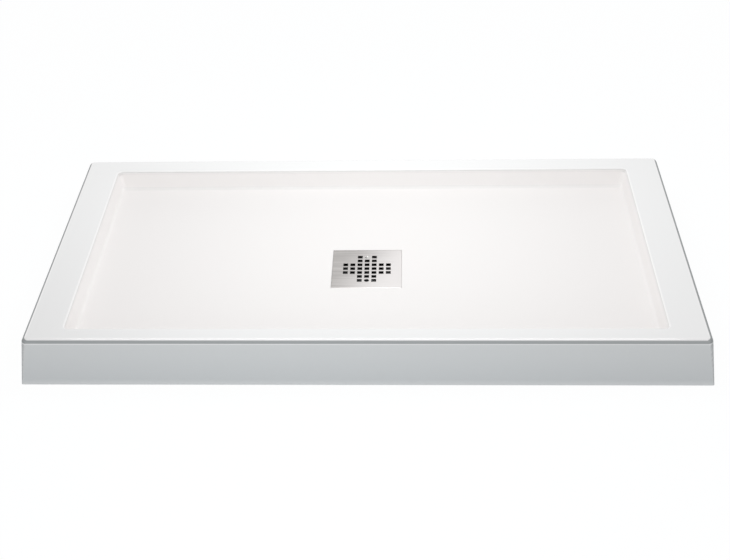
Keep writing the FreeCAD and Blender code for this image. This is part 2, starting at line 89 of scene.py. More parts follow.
# ---- Colours and nodes ------------------------------------------------------------------
def linear(hex_code: str) -> tuple[float, float, float, float]:
    """Turn an sRGB hex colour into linear RGBA.

    Args:
        hex_code: six hex digits after a hash sign.

    Returns:
        Linear red, green, blue and an alpha of 1.
    """
    channels = [int(hex_code[i : i + 2], 16) / 255 for i in (1, 3, 5)]
    red, green, blue = (
        c / 12.92 if c <= 0.04045 else ((c + 0.055) / 1.055) ** 2.4 for c in channels
    )
    return (red, green, blue, 1.0)


def add(tree: Tree, kind: str, inputs: dict | Sequence = (), **settings: Any) -> Node:
    """Add a shader node with its settings and links.

    Args:
        tree: node tree that gets the node.
        kind: class name of the node, after its common first part.
        inputs: value, socket or node for each input, by name or number, or in order. A node
            stands for the first of its outputs in use.
        **settings: properties of the node.

    Returns:
        The new node.
    """
    node = tree.nodes.new(f"ShaderNode{kind}")
    for name, value in settings.items():
        setattr(node, name, value)
    for key, value in inputs.items() if isinstance(inputs, dict) else enumerate(inputs):
        if isinstance(value, Node):
            value = next(output for output in value.outputs if output.enabled)
        if isinstance(value, Socket):
            tree.links.new(value, node.inputs[key])
        else:
            node.inputs[key].default_value = value
    return node


def per_mm(size: float) -> float:
    """Texture scale, in cycles per metre, of a pattern whose features are this many mm wide."""
    return 1 / (size * MM)


# ---- Finishes ---------------------------------------------------------------------------
@dataclass(frozen=True)
class Finish:
    """A real material and how its surface was made."""

    slot: str = ""

    @property
    def name(self) -> str:
        """Name of the Blender material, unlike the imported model's own."""
        return f"{self.slot}_finish"

    def material(self) -> bpy.types.Material:
        """Make the finish once and return it.

        Returns:
            The Blender material of this finish.
        """
        made = bpy.data.materials.get(self.name)
        if made is None:
            made = bpy.data.materials.new(self.name)
            made.use_nodes = True
            tree = made.node_tree
            tree.nodes.clear()
            add(tree, "OutputMaterial", [add(tree, "BsdfPrincipled", self.surface(tree))])
        return made

    def surface(self, tree: Tree) -> dict[str, Any]:
        """Lay out the colours, gloss and relief of the finish.

        Args:
            tree: the material's node tree.

        Returns:
            What goes into the sockets of the shader, by name.
        """
        raise NotImplementedError

    def mottle(
        self, tree: Tree, widths: Sequence[float], detail: float = 2.0,
        turn: Sequence[float] = (0.0, 0.0, 0.0),
    ) -> Node:
        """Lay an uneven pattern over the piece, which rides with it.

        Args:
            tree: the material's node tree.
            widths: size of its features along X, Y and Z, in mm.
            detail: how many finer layers it has.
            turn: its turn about each axis, in radians.

        Returns:
            The node that gives the pattern's value.
        """
        laid = add(tree, "Mapping", {
            "Vector": add(tree, "TexCoord").outputs["Object"], "Rotation": turn,
            "Scale": [per_mm(width) for width in widths],
        })
        return add(tree, "TexNoise", {"Vector": laid, "Scale": 1.0, "Detail": detail})

    def two_tone(
        self, tree: Tree, pattern: Node | Socket, limits: Sequence[float],
        tones: tuple[str, str],
    ) -> tuple[Node, Node]:
        """Lay two tones over the piece by a pattern.

        Args:
            tree: the material's node tree.
            pattern: what tells the tones apart.
            limits: values of the pattern where the first tone ends and the second is full.
            tones: the two colours, as sRGB hex.

        Returns:
            The colour, and the share of the second tone.
        """
        share = add(tree, "MapRange", [pattern, *limits], **SMOOTH)
        first, second = (linear(tone) for tone in tones)
        return add(tree, "Mix", {0: share, 6: first, 7: second}, **IN_COLOUR), share


class Gauge(Enum):
    """What tells the zones of the formed skin apart."""

    HEIGHT = "millimetres above the floor"
    TILT = "1 on a level face and 0 on an upright one"
    SIDEWAYS = "how far a face looks to the left or right"
    ENDWAYS = "how far a face looks to the front or back"
    ACROSS = "endways less sideways"
    ROLL = "tilt, lessened on the side rolls"


class Region(Enum):
    """Parts of the skin, told apart by the outer edge of the rim and by height."""

    OUTER = "apron and outer roll"
    LIP = "roll from the rim into the basin"
    BASIN = "basin below its lip"
    ROLLS = "outer roll, apron and lip"


@dataclass(frozen=True)
class Zone:
    """Part of the skin with a tone of its own.

    Args:
        tone: its colour, as sRGB hex.
        region: where it can be.
        fades: a gauge, two of its values, and the tone's share at each of them.
        dull: whether the sheet has lost its gloss there.
    """

    tone: str
    region: Region
    fades: tuple[tuple[Gauge, float, float, float, float], ...]
    dull: bool = False


UPRIGHT = (Gauge.TILT, 0.12, 0.3, 1, 0)
FRONT_OR_BACK = (Gauge.ACROSS, -0.2, 0.2, 0, 1)
# Painted shade band over the outer roll, lessened on the side rolls.
PAINTED_SHADE_ROLL = ((Gauge.TILT, 0.24, 0.36, 0, 1), (Gauge.ROLL, 0.7, 0.82, 1, 0))
# Zones of painted light on the white sheet: painted highlights, painted shade and a painted
# reflection of the floor.
ZONES = {
    # Painted highlight: a white line along the upper part of the outer roll and the basin's
    # lip.
    "painted highlight along the rolls": Zone(
        "#FFFFFF", Region.ROLLS,
        ((Gauge.TILT, 0.66, 0.84, 0, 1), (Gauge.TILT, 0.975, 0.998, 1, 0)),
    ),
    # Painted shade: the upright outer faces are coloured darker than the rim.
    "apron": Zone("#E9EBEB", Region.OUTER, (UPRIGHT,)),
    "shaded low apron": Zone(
        "#E0E3E4", Region.OUTER, (UPRIGHT, (Gauge.HEIGHT, 0, 101.6, 1, 0))
    ),
    # Painted reflection of the floor: the apron is paler in its lowest 14 mm.
    "painted floor reflection on the foot": Zone("#F6F8F8", Region.OUTER, (UPRIGHT, (Gauge.HEIGHT, 0, 14, 0.7, 0))),
    # Painted highlight: a white line where the outer roll meets the apron at the front and
    # back.
    "painted highlight under the roll": Zone(
        "#FFFFFF", Region.OUTER,
        (
            FRONT_OR_BACK, (Gauge.HEIGHT, 90.0, 90.001, 0, 1),
            (Gauge.TILT, 0.105, 0.15, 0, 1), (Gauge.TILT, 0.3, 0.4, 1, 0),
        ),
    ),
    # Painted shade: a grey band over the outer roll.
    "painted shade over the roll": Zone("#ADB1B2", Region.OUTER, PAINTED_SHADE_ROLL),
    # Painted shade: a darker grey outline over the side rolls.
    "painted shade at the side rolls": Zone(
        "#9A9E9F", Region.OUTER, (*PAINTED_SHADE_ROLL, (Gauge.SIDEWAYS, 0.25, 0.6, 0, 1)), dull=True,
    ),
    # Painted shade: grey round the upright corners.
    "painted shade round the corners": Zone(
        "#9A9E9F", Region.OUTER,
        (UPRIGHT, (Gauge.SIDEWAYS, 0.3, 0.9, 0, 1), (Gauge.ENDWAYS, 0.05, 0.2, 0, 1)),
        dull=True,
    ),
    "shaded lip of the basin": Zone(
        "#E6E5E4", Region.LIP,
        ((Gauge.TILT, 0.1, 0.22, 0, 1), (Gauge.TILT, 0.54, 0.66, 1, 0)),
    ),
    # Painted shade in the concave cove at the front and back of the basin.
    "painted shade in the cove at the front and back": Zone(
        "#F3F2F1", Region.BASIN,
        (
            FRONT_OR_BACK, (Gauge.TILT, 0.2, 0.32, 0, 1), (Gauge.TILT, 0.877, 0.997, 1, 0),
        ),
    ),
}


@dataclass(frozen=True)
class FormedAcrylic(Finish):
    """Cast acrylic sheet, drawn over a mould while hot, so it is glossy with soft long waves.

    The basin is lightly grained against slipping, so it shines less than the rim, and the
    filler behind it makes it look warmer. Over the white, light and shade are painted in: the
    white lines along the rolls and under the outer roll are painted highlights, the paler foot
    of the apron is a painted reflection of the floor, and the darker upright apron, its darker
    low part, the grey band over the outer roll, the grey outline at the sides and round the
    upright corners, the grey lip of the basin and the cove are painted shade.
    """

    slot: str = "gloss_acrylic"
    basin: str = "#FAF8F7"
    rim: str = "#FAFBFB"
    roughness: float = 0.12
    basin_roughness: float = 0.46
    dull_sides_roughness: float = 0.5
    ior: float = 1.49
    wave_mm: float = 34.0
    wave_depth_mm: float = 0.012
    basin_top_mm: tuple[float, float] = (97.0, 101.1)
    lip_foot_mm: float = 93.0
    outer_half_mm: tuple[float, float] = (663.0, 358.0)
    side_roll_lean: float = 0.3

    def surface(self, tree: Tree) -> dict[str, Any]:
        """Gloss white by zone, with painted highlights, painted shade and a painted floor
        reflection.

        Args:
            tree: the material's node tree.

        Returns:
            What goes into the sockets of the shader, by name.
        """
        coords = add(tree, "TexCoord").outputs
        place = add(tree, "SeparateXYZ", [coords["Object"]]).outputs
        normal = add(tree, "SeparateXYZ", [coords["Normal"]]).outputs
        height = add(tree, "Math", [place["Z"], MM], operation="DIVIDE")
        sideways, endways = (
            add(tree, "Math", [normal[axis]], operation="ABSOLUTE") for axis in "XY"
        )
        lean = add(tree, "Math", [sideways, self.side_roll_lean], operation="MULTIPLY")
        gauges = {
            Gauge.HEIGHT: height,
            Gauge.TILT: normal["Z"],
            Gauge.SIDEWAYS: sideways,
            Gauge.ENDWAYS: endways,
            Gauge.ACROSS: add(tree, "Math", [endways, sideways], operation="SUBTRACT"),
            Gauge.ROLL: add(tree, "Math", [normal["Z"], lean], operation="SUBTRACT"),
        }
        beyond = [
            add(
                tree, "Math",
                [add(tree, "Math", [place[axis]], operation="ABSOLUTE"), half * MM],
                operation="GREATER_THAN",
            )
            for axis, half in zip("XY", self.outer_half_mm)
        ]
        outer = add(tree, "Math", beyond, operation="MAXIMUM")
        inner = add(tree, "Math", [1.0, outer], operation="SUBTRACT")
        at_top = add(tree, "Math", [height, self.lip_foot_mm], operation="GREATER_THAN")
        lip = add(tree, "Math", [inner, at_top], operation="MULTIPLY")
        regions = {
            Region.OUTER: outer,
            Region.LIP: lip,
            Region.BASIN: add(tree, "Math", [inner, lip], operation="SUBTRACT"),
            Region.ROLLS: add(tree, "Math", [outer, lip], operation="MAXIMUM"),
        }
        under_rim = add(tree, "MapRange", [height, *self.basin_top_mm, 1, 0], **SMOOTH)
        in_basin = add(tree, "Math", [inner, under_rim], operation="MULTIPLY")
        tones = {0: in_basin, 6: linear(self.rim), 7: linear(self.basin)}
        colour = add(tree, "Mix", tones, **IN_COLOUR)
        rough = (self.roughness, self.basin_roughness)
        gloss = add(tree, "MapRange", [in_basin, 0, 1, *rough], **SMOOTH)
        dull: Node | float = 0.0
        # Each zone mixes in a painted highlight, painted shade or painted reflection.
        for zone in ZONES.values():
            share = regions[zone.region]
            for gauge, *limits in zone.fades:
                fade = add(tree, "MapRange", [gauges[gauge], *limits], **SMOOTH)
                share = add(tree, "Math", [share, fade], operation="MULTIPLY")
            colour = add(tree, "Mix", {0: share, 6: colour, 7: linear(zone.tone)}, **IN_COLOUR)
            if zone.dull:
                dull = add(tree, "Math", [dull, share], operation="MAXIMUM")
        dull = add(tree, "Math", [dull, self.dull_sides_roughness], operation="MULTIPLY")
        waves = self.mottle(tree, [self.wave_mm] * 3, 1.0)
        return {
            "Base Color": colour,
            "Roughness": add(tree, "Math", [dull, gloss], operation="MAXIMUM"),
            "IOR": self.ior,
            "Normal": add(
                tree, "Bump", {"Height": waves, "Distance": self.wave_depth_mm * MM}
            ),
        }


@dataclass(frozen=True)
class SprayedLaminate(Finish):
    """Chopped glass strands sprayed with polyester resin and rolled: crossed pale strands."""

    slot: str = "glass_fibre"
    resin: str = "#B9B38E"
    strand: str = "#DDD9BE"
    strand_mm: float = 1.6
    strand_length_mm: float = 30.0
    strand_depth_mm: float = 0.35
    turns: tuple[float, ...] = (12, 67, 131)
    dip: tuple[float, float] = (0.4, 0.3)
    roughness: float = 0.42

    def surface(self, tree: Tree) -> dict[str, Any]:
        """Strands at three angles over cloudy resin.

        Args:
            tree: the material's node tree.

        Returns:
            What goes into the sockets of the shader, by name.
        """
        widths = (self.strand_mm, self.strand_length_mm, self.strand_mm)
        crossed: Node | float = 0.0
        for turn in self.turns:
            noise = self.mottle(tree, widths, 1.0, (*self.dip, math.radians(turn)))
            lines = add(tree, "MapRange", [noise, 0.52, 0.7], **SMOOTH)
            crossed = add(tree, "Math", [crossed, lines], operation="MAXIMUM")
        tones = {0: crossed, 6: linear(self.resin), 7: linear(self.strand)}
        return {
            "Base Color": add(tree, "Mix", tones, **IN_COLOUR),
            "Roughness": self.roughness,
            "Normal": add(
                tree, "Bump", {"Height": crossed, "Distance": self.strand_depth_mm * MM}
            ),
        }


@dataclass(frozen=True)
class CastFiller(Finish):
    """Polyester resin filled with chalk and cast in place: dull, with grit and small pores."""

    slot: str = "resin_filler"
    body: str = "#B4AD99"
    grit: str = "#8F8874"
    grit_mm: float = 1.4
    grit_depth_mm: float = 0.2
    roughness: float = 0.7

    def surface(self, tree: Tree) -> dict[str, Any]:
        """Dull body with darker grit.

        Args:
            tree: the material's node tree.

        Returns:
            What goes into the sockets of the shader, by name.
        """
        coords = add(tree, "TexCoord").outputs["Object"]
        grit = add(tree, "TexVoronoi", {"Vector": coords, "Scale": per_mm(self.grit_mm)})
        limits = (0.05, 0.4, 1, 0)
        colour, share = self.two_tone(tree, grit, limits, (self.body, self.grit))
        relief = {"Height": share, "Distance": self.grit_depth_mm * MM}
        return {
            "Base Color": colour,
            "Roughness": self.roughness,
            "Normal": add(tree, "Bump", relief),
        }


@dataclass(frozen=True)
class BirchPlywood(Finish):
    """Rotary-cut birch veneers glued crosswise and sanded: fine grain, plies at the edges."""

    slot: str = "plywood"
    early: str = "#D9BE93"
    late: str = "#BB9765"
    ply_light: str = "#D6B98C"
    ply_dark: str = "#8F6A42"
    grain_mm: float = 2.2
    grain_length_mm: float = 160.0
    grain_depth_mm: float = 0.08
    ply_mm: float = 1.3
    roughness: float = 0.55

    def surface(self, tree: Tree) -> dict[str, Any]:
        """Grain on level faces and plies on upright ones.

        Args:
            tree: the material's node tree.

        Returns:
            What goes into the sockets of the shader, by name.
        """
        grain = self.mottle(tree, (self.grain_length_mm, self.grain_mm, self.grain_mm), 4.0)
        coords = add(tree, "TexCoord").outputs
        height, upright = (
            add(tree, "SeparateXYZ", [coords[name]]).outputs["Z"]
            for name in ("Object", "Normal")
        )
        ply = add(tree, "Math", [height, self.ply_mm * MM], operation="DIVIDE")
        plies = add(tree, "Math", [ply, 1.0], operation="PINGPONG")
        limits = (0.35, 0.65)
        face, _ = self.two_tone(tree, grain, limits, (self.early, self.late))
        edge, _ = self.two_tone(tree, plies, limits, (self.ply_light, self.ply_dark))
        slope = add(tree, "Math", [upright], operation="ABSOLUTE")
        level = add(tree, "Math", [slope, 0.5], operation="GREATER_THAN")
        relief = {"Height": grain, "Distance": self.grain_depth_mm * MM}
        return {
            "Base Color": add(tree, "Mix", {0: level, 6: edge, 7: face}, **IN_COLOUR),
            "Roughness": self.roughness,
            "Normal": add(tree, "Bump", relief),
        }


class Grain(Enum):
    """Which way the grain of a piece of timber runs."""

    ALONG_X = "along_x"
    ALONG_Y = "along_y"


@dataclass(frozen=True)
class PlanedPine(Finish):
    """Machine-planed softwood: yellow early wood with thin brown late wood along the rail."""

    slot: str = "softwood"
    grain: Grain = Grain.ALONG_X
    early: str = "#DDBC83"
    late: str = "#B07F49"
    ring_mm: float = 7.0
    radians_per_unit: float = 20.0  # what the wave node draws in one unit
    drawn_out: float = 0.035
    ring_depth_mm: float = 0.1
    roughness: float = 0.6

    @property
    def name(self) -> str:
        """Name of the Blender material, one for each way the grain runs."""
        return f"{self.slot}_{self.grain.value}_finish"

    def surface(self, tree: Tree) -> dict[str, Any]:
        """Long wavering rings.

        Args:
            tree: the material's node tree.

        Returns:
            What goes into the sockets of the shader, by name.
        """
        along_x = self.grain is Grain.ALONG_X
        stretch = (self.drawn_out, 1, 1) if along_x else (1, self.drawn_out, 1)
        coords = add(tree, "TexCoord").outputs["Object"]
        rings = add(
            tree, "TexWave",
            {
                "Vector": add(tree, "Mapping", {"Vector": coords, "Scale": stretch}),
                "Scale": per_mm(self.ring_mm) / self.radians_per_unit,
                "Distortion": 3.0, "Detail": 2.0, "Detail Scale": 1.5,
            },
            wave_type="RINGS", rings_direction="X" if along_x else "Y",
        ).outputs["Fac"]
        colour, _ = self.two_tone(tree, rings, (0.55, 0.95), (self.early, self.late))
        relief = {"Height": rings, "Distance": self.ring_depth_mm * MM}
        return {
            "Base Color": colour,
            "Roughness": self.roughness,
            "Normal": add(tree, "Bump", relief),
        }


@dataclass(frozen=True)
class BrushedStainless(Finish):
    """Stainless sheet brushed along X by a belt: a grey sheen drawn out in long level streaks.

    The plate is painted brighter towards its right and front, a painted reflection, and the
    walls of the holes are painted near black, as painted shade. The real brush lines are about
    0.1 mm apart, too fine to show, so the streaks are drawn 1 mm and 5 mm wide.
    """

    slot: str = "brushed_stainless"
    bright: str = "#C2BFBD"
    dark: str = "#AFACAA"
    # Painted reflection: the plate brightens to this tone towards the right and front.
    sheen: str = "#EAE7E6"
    # Painted shade: near black for the walls of the holes.
    cut: str = "#090909"
    middle_mm: tuple[float, float, float] = (0.0, -30.0, 0.0)
    half_mm: float = 75.0
    holes_mm: float = 58.0
    painted_reflection_slant: float = -0.4
    line_mm: float = 0.9
    streak_mm: float = 5.0
    line_length_mm: float = 120.0
    line_depth_mm: float = 0.02
    roughness: float = 0.34

    def surface(self, tree: Tree) -> dict[str, Any]:
        """Metal with level streaks in tone, gloss and relief.

        Args:
            tree: the material's node tree.

        Returns:
            What goes into the sockets of the shader, by name.
        """
        lines, streaks = (
            self.mottle(tree, (self.line_length_mm, width, width))
            for width in (self.line_mm, self.streak_mm)
        )
        wide = add(tree, "Math", [streaks, 0.4], operation="MULTIPLY")
        both = add(tree, "Math", [lines, 0.6, wide], operation="MULTIPLY_ADD")
        steel, _ = self.two_tone(tree, both, (0.36, 0.64), (self.dark, self.bright))
        coords = add(tree, "TexCoord").outputs
        middle = Vector(self.middle_mm) * MM
        centred = add(tree, "VectorMath", [coords["Object"], middle], operation="SUBTRACT")
        place = add(tree, "SeparateXYZ", [centred]).outputs
        # Painted reflection: a slanted ramp across the plate, from its left and back to its
        # right and front.
        painted_reflection_axis = add(
            tree, "Math", [place["Y"], self.painted_reflection_slant, place["X"]], operation="MULTIPLY_ADD"
        )
        half = self.half_mm * MM
        # Share of the painted reflection.
        finer = add(tree, "MapRange", [painted_reflection_axis, -half, half], **SMOOTH)
        # Painted shade: faces inside the pierced field that lean away from level are painted
        # near black.
        reach = [add(tree, "Math", [place[axis]], operation="ABSOLUTE") for axis in "XY"]
        farthest = add(tree, "Math", reach, operation="MAXIMUM")
        in_field = add(tree, "Math", [farthest, self.holes_mm * MM], operation="LESS_THAN")
        tilt = add(tree, "SeparateXYZ", [coords["Normal"]]).outputs["Z"]
        wall = add(tree, "Math", [tilt, 0.96], operation="LESS_THAN")
        in_hole = add(tree, "Math", [in_field, wall], operation="MULTIPLY")
        # Lay on the painted reflection, then the painted shade of the holes.
        for share, tone in ((finer, self.sheen), (in_hole, self.cut)):
            steel = add(tree, "Mix", {0: share, 6: steel, 7: linear(tone)}, **IN_COLOUR)
        rough = (self.roughness + 0.06, self.roughness - 0.06)
        relief = {"Height": lines, "Distance": self.line_depth_mm * MM, "Strength": 0.5}
        return {
            "Base Color": steel,
            "Metallic": 1.0,
            "Roughness": add(tree, "MapRange", [both, 0.3, 0.7, *rough], **SMOOTH),
            "Normal": add(tree, "Bump", relief),
        }


@dataclass(frozen=True)
class PolishedStainless(Finish):
    """Turned and tumbled stainless screw: bright, with faint handling marks."""

    slot: str = "polished_stainless"
    bright: str = "#E6E5E3"
    dull: str = "#C9C8C6"
    mark_mm: float = 0.8
    roughness: float = 0.16

    def surface(self, tree: Tree) -> dict[str, Any]:
        """Bright metal with soft marks.

        Args:
            tree: the material's node tree.

        Returns:
            What goes into the sockets of the shader, by name.
        """
        marks = self.mottle(tree, [self.mark_mm] * 3, 3.0)
        tones = {0: marks, 6: linear(self.dull), 7: linear(self.bright)}
        rough = (self.roughness + 0.08, self.roughness)
        return {
            "Base Color": add(tree, "Mix", tones, **IN_COLOUR),
            "Metallic": 1.0,
            "Roughness": add(tree, "MapRange", [marks, 0.3, 0.7, *rough], **SMOOTH),
        }


@dataclass(frozen=True)
class PaintedShadeStainless(PolishedStainless):
    """The polished screw coloured near black as painted shade, with a dull metal shine."""

    slot: str = "blackened_stainless"
    bright: str = "#1E1E1F"
    dull: str = "#101011"
    roughness: float = 0.4


@dataclass(frozen=True)
class Moulded(Finish):
    """Moulded plastic or rubber with the fine spark-eroded texture of its mould."""

    body: str = "#E9E7E1"
    shade: str = "#DDDAD3"
    texture_mm: float = 0.6
    cloud_mm: float = 9.0
    texture_depth_mm: float = 0.03
    roughness: float = 0.4
    ior: float = 1.53

    def surface(self, tree: Tree) -> dict[str, Any]:
        """Even body with soft clouds and a fine texture.

        Args:
            tree: the material's node tree.

        Returns:
            What goes into the sockets of the shader, by name.
        """
        cloud, texture = (
            self.mottle(tree, [size] * 3) for size in (self.cloud_mm, self.texture_mm)
        )
        tones = {0: cloud, 6: linear(self.shade), 7: linear(self.body)}
        rough = (self.roughness - 0.05, self.roughness + 0.05)
        relief = {"Height": texture, "Distance": self.texture_depth_mm * MM}
        return {
            "Base Color": add(tree, "Mix", tones, **IN_COLOUR),
            "Roughness": add(tree, "MapRange", [texture, 0.3, 0.7, *rough], **SMOOTH),
            "IOR": self.ior,
            "Normal": add(tree, "Bump", relief),
        }


@dataclass(frozen=True)
class PressedFibre(Finish):
    """Vulcanised fibre card, pressed and stamped: brown with short felted fibres."""

    slot: str = "fibre_card"
    pulp: str = "#8C6A48"
    fibre: str = "#B08D66"
    fibre_mm: float = 0.5
    fibre_length_mm: float = 5.0
    fibre_depth_mm: float = 0.05
    roughness: float = 0.75

    def surface(self, tree: Tree) -> dict[str, Any]:
        """Felted fibres two ways.

        Args:
            tree: the material's node tree.

        Returns:
            What goes into the sockets of the shader, by name.
        """
        thin, long = self.fibre_mm, self.fibre_length_mm
        ways = [
            self.mottle(tree, widths) for widths in ((long, thin, thin), (thin, long, thin))
        ]
        felt = add(tree, "Math", ways, operation="MAXIMUM")
        colour, share = self.two_tone(tree, felt, (0.45, 0.7), (self.pulp, self.fibre))
        relief = {"Height": share, "Distance": self.fibre_depth_mm * MM}
        return {
            "Base Color": colour,
            "Roughness": self.roughness,
            "Normal": add(tree, "Bump", relief),
        }


@dataclass(frozen=True)
class ZincPlate(Finish):
    """Bright zinc plating over turned and pressed steel: bluish, with cloudy passivation."""

    slot: str = "zinc_steel"
    bright: str = "#C5CBD2"
    cloudy: str = "#B1B7BB"
    cloud_mm: float = 5.0
    roughness: float = 0.34

    def surface(self, tree: Tree) -> dict[str, Any]:
        """Cloudy bluish metal.

        Args:
            tree: the material's node tree.

        Returns:
            What goes into the sockets of the shader, by name.
        """
        clouds = self.mottle(tree, [self.cloud_mm] * 3, 4.0)
        colour, _ = self.two_tone(tree, clouds, (0.35, 0.65), (self.cloudy, self.bright))
        rough = (self.roughness + 0.1, self.roughness - 0.04)
        return {
            "Base Color": colour,
            "Metallic": 1.0,
            "Roughness": add(tree, "MapRange", [clouds, 0.3, 0.7, *rough], **SMOOTH),
        }


BLACK_ABS = Moulded(
    slot="black_abs", body="#101011", shade="#0B0B0C", texture_mm=0.8, roughness=0.42,
)
SEAL_RUBBER = Moulded(
    slot="seal_rubber", body="#232324", shade="#19191A", texture_mm=1.0,
    texture_depth_mm=0.05, roughness=0.62, ior=1.52,
)
PAD_PLASTIC = Moulded(
    slot="pad_rubber", body="#2B2C2E", shade="#202123", texture_mm=0.8,
    texture_depth_mm=0.05, roughness=0.5, ior=1.49,
)


# ---- Turned and threaded forms ----------------------------------------------------------
Outline = Callable[[float], tuple[float, float]]

# A screwdriver's cross keeps its corner points on the ends of its arms by this margin.
CORNER_MARGIN = 1.0001


def circle(radius: float, height: float) -> Outline:
    """Level circle about the axis."""
    return lambda angle: (radius, height)


def hexagon(flats: float, height: float, limit: float = math.inf) -> Outline:
    """Level hexagon, with its corners turned down.

    Args:
        flats: size across flats.
        height: height above the floor.
        limit: radius that its corners are turned down to.

    Returns:
        The outline of the hexagon.
    """
    def outline(angle: float) -> tuple[float, float]:
        """Radius and height at an angle."""
        from_flat = (angle % (math.pi / 3)) - math.pi / 6
        return min(flats / 2 / math.cos(from_flat), limit), height
    return outline


def cross(half_length: float, half_width: float, height: float) -> Outline:
    """Level cross for a screwdriver.

    Args:
        half_length: length of each arm from the axis.
        half_width: half the width of an arm.
        height: height above the floor.

    Returns:
        The outline of the cross.
    """
    def outline(angle: float) -> tuple[float, float]:
        """Radius and height at an angle, on the end or on the side of an arm."""
        off_arm = abs((angle + math.pi / 4) % (math.pi / 2) - math.pi / 4)
        if math.tan(off_arm) * half_length <= half_width * CORNER_MARGIN:
            return half_length / math.cos(off_arm), height
        return half_width / math.sin(off_arm), height
    return outline


@dataclass(frozen=True)
class Thread:
    """A thread with flat crests and roots, sizes in mm.

    Args:
        crest: its outer radius.
        depth: how far the root lies inside the crest.
        pitch: its rise in one turn.
        foot: height of its lower end.
        top: height of its upper end.
        rows_per_turn: how many rows of points draw one turn.
        crest_share: share of the pitch that is flat crest.
        flank_share: share of the pitch that the two flanks take.
    """

    crest: float
    depth: float
    pitch: float
    foot: float
    top: float
    rows_per_turn: int = 8
    crest_share: float = 0.12
    flank_share: float = 0.72

    @property
    def root(self) -> float:
        """Inner radius of the thread."""
        return self.crest - self.depth

    def heights(self) -> list[float]:
        """Heights of its rows, from its foot to its top."""
        steps = round((self.top - self.foot) / self.pitch * self.rows_per_turn)
        return [self.foot + (self.top - self.foot) * step / steps for step in range(steps + 1)]

    def row(self, height: float, limit: float, turns_in: float = 1.0) -> Outline:
        """Level cut through the thread.

        Args:
            height: height of the cut above the floor.
            limit: radius that the thread is turned down to there.
            turns_in: turns from where it runs out, with its full depth after one.

        Returns:
            The outline of the cut.
        """
        depth = self.depth * min(1.0, turns_in)

        def outline(angle: float) -> tuple[float, float]:
            """Radius and height at an angle, on crest, flank or root."""
            turn = (height / self.pitch - angle / math.tau) % 1.0
            off_crest = abs(turn - 0.5) * 2 - self.crest_share
            flank = min(max(off_crest / self.flank_share, 0.0), 1.0)
            return min(self.crest - depth * flank, limit), height
        return outline


@dataclass
class TurnedForm:
    """A closed form about an upright axis, skinned from rows of outlines in mm.

    Args:
        name: name of its mesh.
        is_ring: whether the last row joins the first, or both ends close on the axis.
        columns: points in each row; 96 puts points on hexagon corners and cross corners.
    """

    name: str
    is_ring: bool = False
    columns: int = 96
    rows: list[Outline] = field(default_factory=list)

    def add(self, *outlines: Outline) -> None:
        """Put further rows after the last."""
        self.rows.extend(outlines)

    def mesh(self, finish: Finish) -> bpy.types.Mesh:
        """Skin the rows and give the mesh its finish.

        Args:
            finish: the finish of the whole form.

        Returns:
            A closed mesh in metres about the axis.
        """
        points: list[tuple[float, float, float]] = []
        for row in self.rows:
            for column in range(self.columns):
                angle = math.tau * column / self.columns
                radius, height = row(angle)
                points.append((
                    radius * math.cos(angle) * MM, radius * math.sin(angle) * MM, height * MM
                ))
        faces: list[tuple[int, ...]] = []
        last = len(self.rows) if self.is_ring else len(self.rows) - 1
        for low in range(last):
            high = (low + 1) % len(self.rows)
            for column in range(self.columns):
                after = (column + 1) % self.columns
                faces.append((
                    low * self.columns + column, low * self.columns + after,
                    high * self.columns + after, high * self.columns + column,
                ))
        if not self.is_ring:
            top = (len(self.rows) - 1) * self.columns
            faces.append(tuple(reversed(range(self.columns))))
            faces.append(tuple(range(top, top + self.columns)))
        mesh = bpy.data.meshes.new(self.name)
        mesh.from_pydata(points, [], faces)
        mesh.polygons.foreach_set("use_smooth", [True] * len(mesh.polygons))
        mesh.materials.append(finish.material())
        return mesh


# ---- Pieces -----------------------------------------------------------------------------
WELD_DISTANCE = 0.01 * MM
CRISP_ANGLE = math.radians(28)
EASED_ANGLE = math.radians(40)
FLAT_ANGLE = math.radians(1)


